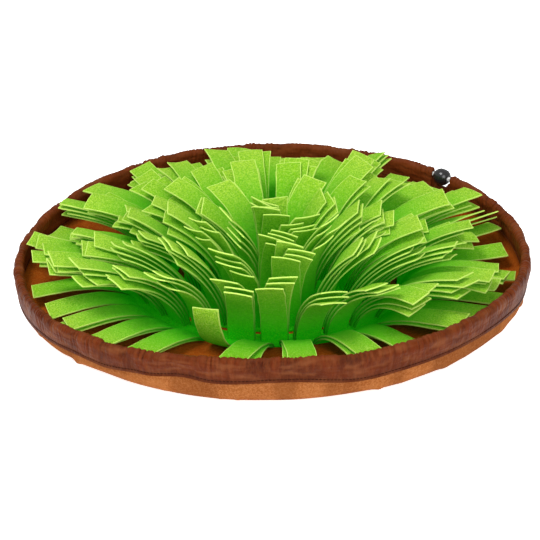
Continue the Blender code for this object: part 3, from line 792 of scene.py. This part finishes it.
def build_base(finish):
    """A sheet of suede cloth with its backing: flat floor, rounded wall with soft puckers."""
    puckers = base_puckers()
    points, inside = [], []
    for i in range(BASE_ROUNDS):
        azimuth = 360 * i / BASE_ROUNDS
        pucker = sum(
            height * bell((azimuth - place + 180) % 360 - 180, width) for place, width, height in puckers
        )
        lower, upper = base_round(azimuth, pucker)
        points += lower + upper[::-1]
        inside += [0.0] * len(lower) + [1.0] * len(upper)
    size = len(points) // BASE_ROUNDS
    faces = grid_faces(BASE_ROUNDS, size, True, False)
    low_middle, high_middle = len(points), len(points) + 1
    points += [Vector((0, 0, 0)), Vector((0, 0, BASE_THICK))]
    inside += [0.0, 1.0]
    for i in range(BASE_ROUNDS):
        here, there = i * size, (i + 1) % BASE_ROUNDS * size
        faces.append((low_middle, here, there))
        faces.append((high_middle, there + size - 1, here + size - 1))
    piece = add_piece("base_sheet", points, faces, [finish], 60, None, {"inside": inside})
    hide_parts("base")


# ---- The casing. ----

# The middle of the folded cloth: out from the wall line and up from the seam, in millimetres.
CASING_LINE = (
    (2.35, 0.0), (2.3, 1.3), (2.05, 2.7), (2.5, 4.6), (2.95, 8.0), (3.4, 12.5), (3.85, 16.6), (3.95, 19.2),
    (3.35, 22.0), (1.7, 24.2), (-0.6, 24.55), (-2.6, 23.3), (-3.75, 20.8), (-3.95, 17.4), (-3.4, 12.5),
    (-3.0, 8.0), (-2.5, 4.6), (-2.05, 2.7), (-2.3, 1.3), (-2.35, 0.0),
)
LOW_LINE = CASING_LINE[:4] + (  # the same in the opening, where only the band's lower part goes on
    (2.6, 6.6), (2.0, 8.2), (0.9, 8.75), (-0.9, 8.75), (-2.0, 8.2), (-2.6, 6.6),
) + CASING_LINE[-4:]
LOW_FOOT = 4.6  # the part of that line that keeps its height
LOW_HEIGHT = 8.75
LOW_NARROW = 0.985
LOW_TUCK = 0.25  # degrees that it goes on under the band at each mouth
LINE_STEPS = 2  # between neighbouring points of a line
CASING_ROUNDS = 1500
LOW_ROUNDS = 60
CASING_HALF = 0.45  # half the cloth's thickness, in millimetres
GATHERS, FINE_GATHERS = 236, 431  # round the mat
GATHER_SEED = 8
NOISE_STEPS = 4096
NOISE_WAVES = {  # of each value that varies along the casing
    "drift": 90, "drift_fine": 160, "calm": 26, "calm_fine": 44, "lean": 34, "lean_fine": 70,
    "billow": 30, "billow_up": 46, "crumple": 120, "crumple_up": 150,
}
SEAM_OUT, SEAM_UP = 2.05, 2.7  # of the stitches, on CASING_LINE
STITCH_LONG = 0.0026
STITCH_PITCH = 0.0033
STITCH_RADIUS = 0.00032
STITCH_PROUD = 0.0001
STITCH_SIDES = 6
STITCH_PROFILE = (  # along it, then its thickness and bow there
    (-0.5, 0.35, -0.6), (-0.36, 0.95, 0.6), (0.0, 1.0, 0.6), (0.36, 0.95, 0.6), (0.5, 0.35, -0.6),
)


def noise_row(chance, waves):
    """A smooth seamless row of random values about 0, with this many waves round it at most."""
    angle = np.linspace(0, 2 * math.pi, NOISE_STEPS, endpoint=False)
    row = np.zeros(NOISE_STEPS)
    for wave in range(1, waves + 1):
        row += chance.uniform(0.4, 1) * np.sin(wave * angle + chance.uniform(0, 2 * math.pi))
    return row / math.sqrt(waves / 4)


def dense_line(line):
    """The line's points with more between them, on a smooth curve through them."""
    points = [np.array(p, dtype=float) for p in line]
    dense = []
    for i in range(len(points) - 1):
        a, b = points[max(i - 1, 0)], points[i]
        c, d = points[i + 1], points[min(i + 2, len(points) - 1)]
        square, cube = 2 * a - 5 * b + 4 * c - d, 3 * b - a - 3 * c + d
        for k in range(LINE_STEPS):
            t = k / LINE_STEPS
            dense.append(0.5 * (2 * b + (c - a) * t + square * t**2 + cube * t**3))
    return dense + [points[-1]]


def girth_along(line):
    """How far each point of a line is from its start."""
    return np.cumsum([0] + [np.linalg.norm(b - a) for a, b in zip(line, line[1:])])


def gathers(ups, azimuths):
    """How far the casing's cloth stands off its mean surface, in millimetres, by azimuth and height."""
    chance = random.Random(GATHER_SEED)
    share = np.array([(a % 360) / 360 for a in azimuths])
    place = (share * NOISE_STEPS).astype(int) % NOISE_STEPS
    at = {name: noise_row(chance, waves)[place] for name, waves in NOISE_WAVES.items()}
    angle = share * 2 * math.pi
    to_front = np.clip(-np.sin(angle) * 1.6 + 0.2, 0, 1)
    result = np.zeros((len(azimuths), len(ups)))
    for k, up in enumerate(ups):
        height = up / BAND_HEIGHT
        top = smooth(clamp((up - 13) / 9))
        slanted = angle + (at["lean"] * 0.011 + at["lean_fine"] * 0.005) * (height - 0.5)
        main = np.sin(slanted * GATHERS + at["drift"] * 2.6 + 1.2 * height)
        fine = np.sin(slanted * FINE_GATHERS + at["drift_fine"] * 2.4 - 0.8 * height)
        main = np.where(main < 0, 1 - 2 * np.abs(main) ** 1.3, main)
        strong = np.clip(0.42 + 0.42 * at["calm"], 0.04, 1.1) * (1 - 0.35 * to_front * (1 - 0.5 * top))
        fine_strong = np.clip(0.4 + 0.5 * at["calm_fine"], 0.05, 1.0) * (1 - 0.5 * to_front * (1 - top))
        billow = 0.42 * np.sin(at["billow"] * 1.7 + height * (2.2 + at["billow_up"]))
        crumple = 0.16 * np.sin(at["crumple"] * 1.9 + height * (5 + 2 * at["crumple_up"])) * (0.4 + to_front)
        result[:, k] = 0.50 * main * strong + 0.30 * fine * fine_strong + billow + crumple
        result[:, k] *= 1 + 0.6 * top
    return np.clip(result, -1.2, 1.2)


def stretched(up, foot, height, top):
    return min(up, foot) + max(up - foot, 0) * (top - foot) / (height - foot)


def band_rise(up, azimuth):
    """A height of the casing's section, where the band is as narrow as at this azimuth."""
    return stretched(up, BAND_FOOT, BAND_HEIGHT, rim_at(azimuth)[2] / MM)


def low_rise(up, azimuth):
    """The same for the lower part in the opening, which dips under the lock."""
    return stretched(up, LOW_FOOT, LOW_HEIGHT, np.interp(azimuth, *zip(*LOW_TOPS)) - CASING_HALF)


def casing_round(line, waves, azimuth, lip, rise_of):
    """The casing's outer and inner points at an azimuth, and how far each stands on a gather, which also
    paints shade into the valleys and at the stitches and highlight on the ridges.
    """
    seam, dip = seam_height(azimuth), seam_wave(azimuth)
    outer, inner, gather_shade = [], [], []
    for k, ((out, up), wave) in enumerate(zip(line, waves)):
        along = line[min(k + 1, len(line) - 1)] - line[max(k - 1, 0)]
        along = along / np.linalg.norm(along)
        normal = np.array((along[1], -along[0]))
        height = up / BAND_HEIGHT
        stitched = bell(up - SEAM_UP, 1.3)
        reach = (0.25 + 0.75 * smooth(clamp((up - 2.0) / 9.0))) * (1 - 0.6 * stitched)
        swing = wave * 0.95 * reach
        if up < 9:
            swing = max(swing, -0.28)
        spot = np.array((out, rise_of(up, azimuth)))
        spot = spot + normal * (swing + lip * smooth(min(height * 1.6, 1)))
        flutter = 0.35 * wave * max(0, 1 - up / 2.5)
        sag = dip * (1 - smooth(clamp((height - 0.1) / 0.8)))
        for side, face in ((1, outer), (-1, inner)):
            away, rise = spot + side * normal * CASING_HALF
            face.append(around(WALL_RADIUS + away * MM, azimuth, seam + (rise + flutter) * MM + sag))
        # painted shade and highlight: paler on the ridges, darker in the valleys and along the stitches
        gather_shade.append(0.5 + 0.5 * wave * min(1, reach + 0.2) - 0.35 * stitched)
    return outer, inner, gather_shade


def casing_sheet(line, azimuths, rise_of, end_lip):
    """Points, faces and attributes of a stretch of the casing's cloth folded along a line."""
    waves = gathers([up for _, up in line], azimuths)
    girth = list(girth_along(line) * MM)
    points, gather_shade, run, rise = [], [], [], []
    for azimuth, wave_row in zip(azimuths, waves):
        from_end = math.radians(min(azimuth - azimuths[0], azimuths[-1] - azimuth)) * WALL_RADIUS
        lip = (0.75 * bell(from_end - 0.0045, 0.0035) - 1.3 * bell(from_end, 0.0014)) * end_lip
        outer, inner, outer_gather_shade = casing_round(line, wave_row, azimuth, lip, rise_of)
        points += outer + inner[::-1]
        gather_shade += outer_gather_shade + outer_gather_shade[::-1]
        run += [math.radians(azimuth) * WALL_RADIUS] * 2 * len(line)
        rise += girth + girth[::-1]
    size = 2 * len(line)
    faces = grid_faces(len(azimuths), size, False, True)
    last = len(points) - size
    for k in range(len(line) - 1):
        faces.append((k + 1, k, size - 1 - k, size - 2 - k))
        faces.append((last + k, last + k + 1, last + size - 2 - k, last + size - 1 - k))
    return points, faces, {"gather_shade": list(np.clip(gather_shade, 0, 1)), "run": run, "rise": rise}


def build_casing(finish):
    """The casing's cloth round the mat, and its lower part where it goes on under the lock."""
    azimuths = spaced(MOUTHS[1], MOUTHS[0] + 360, CASING_ROUNDS)
    line = dense_line(CASING_LINE)
    points, faces, attributes = casing_sheet(line, azimuths, band_rise, 1.0)
    azimuths = spaced(MOUTHS[0] - LOW_TUCK, MOUTHS[1] + LOW_TUCK, LOW_ROUNDS)
    low_line = dense_line([(out * LOW_NARROW, up) for out, up in LOW_LINE])
    low_points, low_faces, low_attributes = casing_sheet(low_line, azimuths, low_rise, 0.0)
    faces += [tuple(len(points) + p for p in face) for face in low_faces]
    points += low_points
    attributes = {name: values + low_attributes[name] for name, values in attributes.items()}
    piece = add_piece("casing_band", points, faces, [finish], 70, None, attributes)
    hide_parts("casing")


def stitch_points(azimuth, side):
    radius = WALL_RADIUS + side * ((SEAM_OUT + CASING_HALF) * MM + STITCH_PROUD)
    middle = around(radius, azimuth, seam_height(azimuth) + SEAM_UP * MM + seam_wave(azimuth))
    along, out = tangent(azimuth), around(1, azimuth, 0)
    points = []
    for reach, thick, bow in STITCH_PROFILE:
        place = middle + along * STITCH_LONG * reach + out * side * STITCH_RADIUS * bow
        for angle in turns(STITCH_SIDES):
            off = out * math.cos(angle) + Vector((0, 0, math.sin(angle)))
            points.append(place + off * STITCH_RADIUS * thick)
    return points


def build_stitches(finish):
    """The seam's stitches, one row on each face of the casing."""
    points, faces = [], []
    azimuth = MOUTHS[1]
    while azimuth < MOUTHS[1] + 360:
        for side in (1, -1):
            start = len(points)
            points += stitch_points(azimuth, side)
            faces += grid_faces(len(STITCH_PROFILE), STITCH_SIDES, False, True, start)
            faces.append(tuple(range(start, start + STITCH_SIDES))[::-1])
            faces.append(tuple(range(len(points) - STITCH_SIDES, len(points))))
        azimuth += math.degrees(STITCH_PITCH / WALL_RADIUS)
    add_piece("seam_stitches", points, faces, [finish], 80)


# ---- The drawcord and its lock. ----

CORD_ROUNDS, CORD_SIDES = 90, 32
CORD_EASE = 0.003
BRAID_STRANDS = 4
BRAID_PITCH = 0.0085
BRAID_DEPTH = 0.00035
BORE = CORD_RADIUS + 0.00045
BORE_RIM = 0.0007
BALL_STEPS, RIM_STEPS, LOCK_ROUNDS = 24, 6, 64
BUTTON_SLOPE = (0.5, 0.87)  # outwards and up
BUTTON_REACH = 0.62  # radians from its middle to its groove
GROOVE_WIDTH, GROOVE_DEPTH = 0.035, 0.0006
BUTTON_FLAT, BUTTON_EASE = 0.0005, 0.5


def cord_places():
    tuck = math.degrees(CORD_TUCK / WALL_RADIUS)
    middle, along = channel_point(LOCK_AZIMUTH), tangent(LOCK_AZIMUTH)
    places = []
    for azimuth in spaced(MOUTHS[0] - tuck, MOUTHS[1] + tuck, CORD_ROUNDS - 1):
        walked = math.radians(azimuth - LOCK_AZIMUTH) * WALL_RADIUS
        away = smooth(clamp((abs(walked) - LOCK_LONG) / CORD_EASE))
        places.append((middle + along * walked).lerp(channel_point(azimuth), away))
    return places


def build_cord(finish):
    """A braided cord: two sets of strands wound against each other stand up from its surface."""
    places = cord_places()
    points, strands = [], []
    walked = 0.0
    for i, place in enumerate(places):
        before, after = places[max(i - 1, 0)], places[min(i + 1, len(places) - 1)]
        ahead = (after - before).normalized()
        walked += (place - before).length
        across = ahead.cross(Vector((0, 0, 1))).normalized()
        up = across.cross(ahead)
        turn = walked / BRAID_PITCH * 2 * math.pi
        for angle in turns(CORD_SIDES):
            one, two = math.sin(BRAID_STRANDS * angle + turn), math.sin(BRAID_STRANDS * angle - turn)
            # 1 on a crown and 0 in a groove: it shapes the cord and paints shade into the grooves
            crown_and_groove_shade = max(one, two) * 0.5 + 0.5
            radius = CORD_RADIUS - BRAID_DEPTH * (1 - crown_and_groove_shade)
            points.append(place + (across * math.cos(angle) + up * math.sin(angle)) * radius)
            strands.append(crown_and_groove_shade)
    faces = grid_faces(CORD_ROUNDS, CORD_SIDES, False, True)
    faces.append(tuple(range(CORD_SIDES)))
    faces.append(tuple(range(len(points) - CORD_SIDES, len(points)))[::-1])
    piece = add_piece("drawcord_braid", points, faces, [finish], 70, None, {"crown_and_groove_shade": strands})
    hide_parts("drawcord")


def lock_profile():
    """(along the bore, radius) over the ball and back through its bore."""
    start = math.asin((BORE + BORE_RIM) / LOCK_RADIUS)
    angles = spaced(start, math.pi - start, BALL_STEPS)
    profile = [(-math.cos(angle) * LOCK_LONG, math.sin(angle) * LOCK_RADIUS) for angle in angles]
    inside = -profile[0][0] - BORE_RIM
    edge = [
        (inside + BORE_RIM * math.cos(angle), BORE + BORE_RIM - BORE_RIM * math.sin(angle))
        for angle in spaced(0, math.pi / 2, RIM_STEPS)[1:]
    ]
    bore = [(x, BORE) for x in spaced(inside, -inside, RIM_STEPS)[1:-1]]
    return profile + edge + bore + [(-x, radius) for x, radius in edge[::-1]]


def build_lock(finish):
    """A ball with rounded rims at its bore and a push button in a groove."""
    middle, along = channel_point(LOCK_AZIMUTH), tangent(LOCK_AZIMUTH)
    out = around(1, LOCK_AZIMUTH, 0)
    press = (out * BUTTON_SLOPE[0] + Vector((0, 0, BUTTON_SLOPE[1]))).normalized()
    side = along.cross(out)
    profile = lock_profile()
    points = []
    for angle in turns(LOCK_ROUNDS):
        outwards = out * math.cos(angle) + side * math.sin(angle)
        for x, radius in profile:
            point = along * x + outwards * radius
            far = point.normalized().angle(press)
            if radius > BORE + 2 * BORE_RIM:
                groove = bell(far - BUTTON_REACH, GROOVE_WIDTH) * GROOVE_DEPTH
                flat = smooth(clamp((BUTTON_REACH - far) / BUTTON_EASE)) * BUTTON_FLAT
                point -= point.normalized() * (groove + flat)
            points.append(middle + point)
    faces = grid_faces(LOCK_ROUNDS, len(profile), True, True)
    piece = add_piece("lock_ball", points, faces, [finish], 50)
    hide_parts("cord_lock")


# ---- The stage. ----

FLOOR_REACH = 6.0
FLOOR_DROP = 0.0002
FLOOR_GLOW = 0.75
WORLD_STRENGTH = 0.62
LIGHTS = (
    ("key", (-0.7, -0.5, 1.9), 0.8, 28),
    ("fill", (0.5, -1.7, 1.0), 1.2, 20),
)
CAMERA_DISTANCE = 1.8
CAMERA_ELEVATION = 26.5
FOCAL_PIXELS = 1829
PHOTO_PIXELS = 540
SHIFT_PIXELS = (-2, 9)


def look_at_origin(obj, place):
    obj.location = place
    obj.rotation_mode = "QUATERNION"
    obj.rotation_quaternion = (-Vector(place)).to_track_quat("-Z", "Y")


def build_floor():
    mesh = bpy.data.meshes.new("floor")
    corners = ((-1, -1), (1, -1), (1, 1), (-1, 1))
    mesh.from_pydata([(x * FLOOR_REACH, y * FLOOR_REACH, 0) for x, y in corners], [], [(0, 1, 2, 3)])
    floor = add_object("floor", mesh)
    floor.location.z = -FLOOR_DROP
    nodes = Nodes("floor_white", 0.9, (0.9, 0.9, 0.9), 0.1)
    nodes.shade(Base_Color=(0.93, 0.93, 0.93, 1), Emission_Color=(1, 1, 1, 1), Emission_Strength=FLOOR_GLOW)
    mesh.materials.append(nodes.material)


def build_lights():
    world = bpy.data.worlds.new("studio")
    world.use_nodes = True
    sockets = world.node_tree.nodes["Background"].inputs
    sockets["Color"].default_value = (1, 1, 1, 1)
    sockets["Strength"].default_value = WORLD_STRENGTH
    bpy.context.scene.world = world
    for name, place, size, power in LIGHTS:
        light = bpy.data.lights.new(name, "AREA")
        light.energy = power
        light.size = size
        look_at_origin(add_object(name, light), place)


def build_camera():
    data = bpy.data.cameras.new("camera")
    data.sensor_width = 36
    data.lens = data.sensor_width * FOCAL_PIXELS / PHOTO_PIXELS
    data.shift_x, data.shift_y = (shift / PHOTO_PIXELS for shift in SHIFT_PIXELS)
    camera = add_object("camera", data)
    up = math.radians(CAMERA_ELEVATION)
    look_at_origin(camera, (0, -CAMERA_DISTANCE * math.cos(up), CAMERA_DISTANCE * math.sin(up)))
    scene = bpy.context.scene
    scene.camera = camera
    scene.view_settings.view_transform = "Standard"
    scene.view_settings.look = "None"


def main():
    build_floor()
    build_lights()
    build_camera()
    felt = [felt_material(), felt_edge_material()]
    build_base(suede_material())
    build_casing(casing_material())
    build_stitches(thread_material())
    build_cord(braid_material())
    build_lock(plastic_material())
    chance = random.Random(FINE_SEED)
    rings = [[FineBundle(bundle, chance) for bundle in ring] for ring in lay_bundles()]
    trees = []
    for ring in reversed(rings):
        for fine in ring:
            fine.resettle(trees)
    build_fringe("felt_centre", "fringe_centre", RINGS[1][0] * MM, True, rings[0] + rings[1], felt)
    radii = [row[0] * MM for row in RINGS[2:]] + [OUTER_RADIUS]
    for i, (ring, radius) in enumerate(zip(rings[2:], radii)):
        build_fringe(f"felt_ring_{i + 1}", f"fringe_ring_{i + 1}", radius, False, ring, felt)


main()
